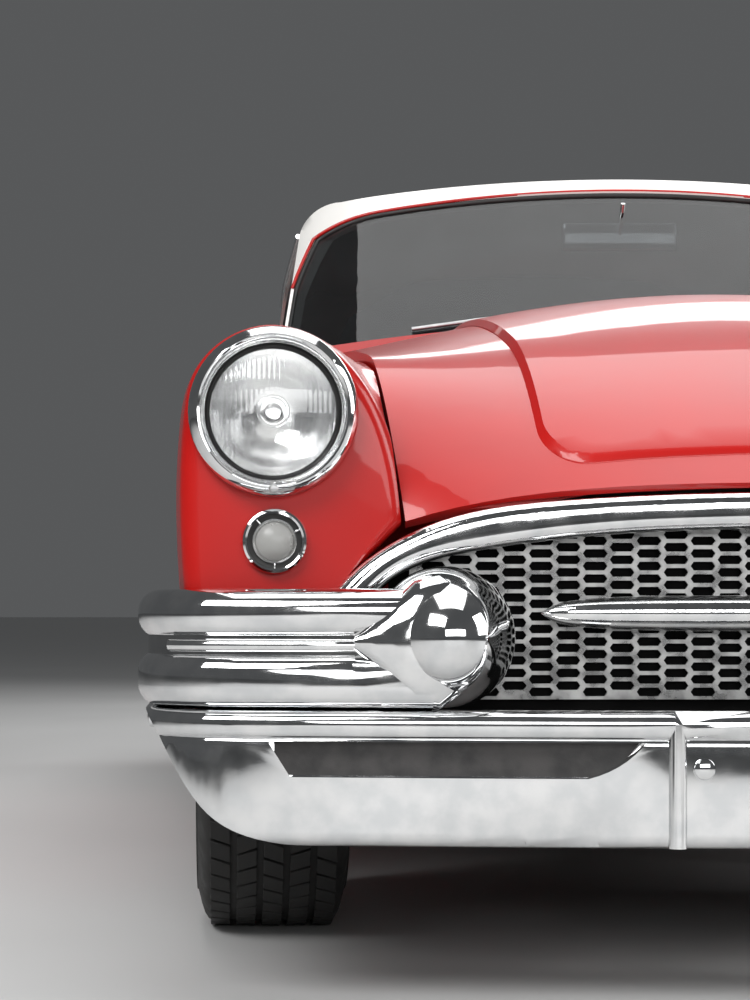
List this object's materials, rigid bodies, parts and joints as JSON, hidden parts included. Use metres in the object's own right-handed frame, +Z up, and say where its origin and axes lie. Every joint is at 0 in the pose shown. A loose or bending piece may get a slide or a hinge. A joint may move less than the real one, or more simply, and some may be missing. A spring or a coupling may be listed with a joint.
{
  "type": "two-door hardtop car",
  "caption": "Mid-century two-door hardtop car with a wide chrome bumper, bullet guards, a mesh grille and a white roof.",
  "frame": {"origin": "middle of the car on the ground, half way between its front and rear ends", "axes": "+Z up, -Y forward, -X to the right side of the car"},
  "size_m": [1.944, 5.246, 1.5321],
  "materials": {
    "cast_iron": "rough",
    "chassis_black": "satin",
    "chrome": "polished",
    "dark_trim": "matte",
    "glass": "clear",
    "grille_metal": "satin",
    "lamp_glass": "clear",
    "red_lens": "gloss",
    "red_paint": "gloss",
    "steel": "satin",
    "tyre_rubber": "matte",
    "upholstery": "satin",
    "wheel_paint": "gloss",
    "white_paint": "gloss"
  },
  "bodies": {
    "car_body": {"bumper_bars": "chrome", "bumper_bullets": "chrome", "cowl": "red_paint", "crossmembers": "chassis_black", "dashboard": "dark_trim", "driveshaft": "steel", "engine_block": "cast_iron", "exhaust": "steel", "floor_pan": "chassis_black", "frame_rails": "chassis_black", "front_bumper": "chrome", "front_fender_left": "red_paint", "front_fender_right": "red_paint", "front_seat": "upholstery", "front_suspension": "chassis_black", "fuel_tank": "chassis_black", "grille_bar": "chrome", "grille_mesh": "grille_metal", "grille_surround": "chrome", "headlamp_bezels": "chrome", "headlamp_lenses": "lamp_glass", "inner_fenders": "chassis_black", "parking_lamps": "chrome", "quarter_glass": "glass", "radiator": "chassis_black", "rear_axle": "cast_iron", "rear_bumper": "chrome", "rear_deck": "red_paint", "rear_quarter_left": "red_paint", "rear_quarter_right": "red_paint", "rear_seat": "upholstery", "rear_springs": "chassis_black", "rear_window": "glass", "roof": "white_paint", "sills": "red_paint", "steering_column": "dark_trim", "tail_lamps": "red_lens", "tail_panel": "red_paint", "wheelhouses": "chassis_black", "windshield": "glass"},
    "hood": {"hood": "red_paint"},
    "trunk_lid": {"trunk_lid": "red_paint"},
    "door_left": {"door_left": "red_paint", "door_glass_left": "glass"},
    "door_right": {"door_right": "red_paint", "door_glass_right": "glass"},
    "knuckle_left": {"knuckle_left": "cast_iron"},
    "knuckle_right": {"knuckle_right": "cast_iron"},
    "steering_wheel": {"steering_wheel": "dark_trim"},
    "wheel_front_left": {"wheel_front_left": "wheel_paint", "tyre_front_left": "tyre_rubber"},
    "wheel_front_right": {"wheel_front_right": "wheel_paint", "tyre_front_right": "tyre_rubber"},
    "wheel_rear_left": {"wheel_rear_left": "wheel_paint", "tyre_rear_left": "tyre_rubber"},
    "wheel_rear_right": {"wheel_rear_right": "wheel_paint", "tyre_rear_right": "tyre_rubber"}
  },
  "joints": [
    {"name": "steer_left", "type": "hinge", "parent": "car_body", "child": "knuckle_left", "pos_m": [0.664, -1.745, 0.357], "axis": [0, 0, 1], "range_deg": [-30, 30]},
    {"name": "steer_right", "type": "hinge", "parent": "car_body", "child": "knuckle_right", "pos_m": [-0.664, -1.745, 0.357], "axis": [0, 0, 1], "range_deg": [-30, 30]},
    {"name": "steering_wheel_turn", "type": "hinge", "parent": "car_body", "child": "steering_wheel", "pos_m": [0.37, -0.365, 0.925], "axis": [0, 0.8799, 0.4751], "range_deg": [-480, 480]},
    {"name": "wheel_front_left_spin", "type": "hinge", "parent": "knuckle_left", "child": "wheel_front_left", "pos_m": [0.78, -1.745, 0.357], "axis": [1, 0, 0], "continuous": true},
    {"name": "wheel_front_right_spin", "type": "hinge", "parent": "knuckle_right", "child": "wheel_front_right", "pos_m": [-0.78, -1.745, 0.357], "axis": [1, 0, 0], "continuous": true},
    {"name": "wheel_rear_left_spin", "type": "hinge", "parent": "car_body", "child": "wheel_rear_left", "pos_m": [0.78, 1.354, 0.357], "axis": [1, 0, 0], "continuous": true},
    {"name": "wheel_rear_right_spin", "type": "hinge", "parent": "car_body", "child": "wheel_rear_right", "pos_m": [-0.78, 1.354, 0.357], "axis": [1, 0, 0], "continuous": true},
    {"name": "door_left_open", "type": "hinge", "parent": "car_body", "child": "door_left", "pos_m": [0.88, -0.924, 0.6], "axis": [0, 0, -1], "range_deg": [0, 65]},
    {"name": "door_right_open", "type": "hinge", "parent": "car_body", "child": "door_right", "pos_m": [-0.88, -0.924, 0.6], "axis": [0, 0, 1], "range_deg": [0, 65]},
    {"name": "hood_open", "type": "hinge", "parent": "car_body", "child": "hood", "pos_m": [0, -0.985, 1.0925], "axis": [-1, 0, 0], "range_deg": [0, 50]},
    {"name": "trunk_lid_open", "type": "hinge", "parent": "car_body", "child": "trunk_lid", "pos_m": [0, 1.526, 0.9865], "axis": [1, 0, 0], "range_deg": [0, 65]}
  ],
  "couplings": [
    {"joint": "steer_right", "follows": "steer_left", "ratio": 1},
    {"joint": "steering_wheel_turn", "follows": "steer_left", "ratio": 16}
  ]
}
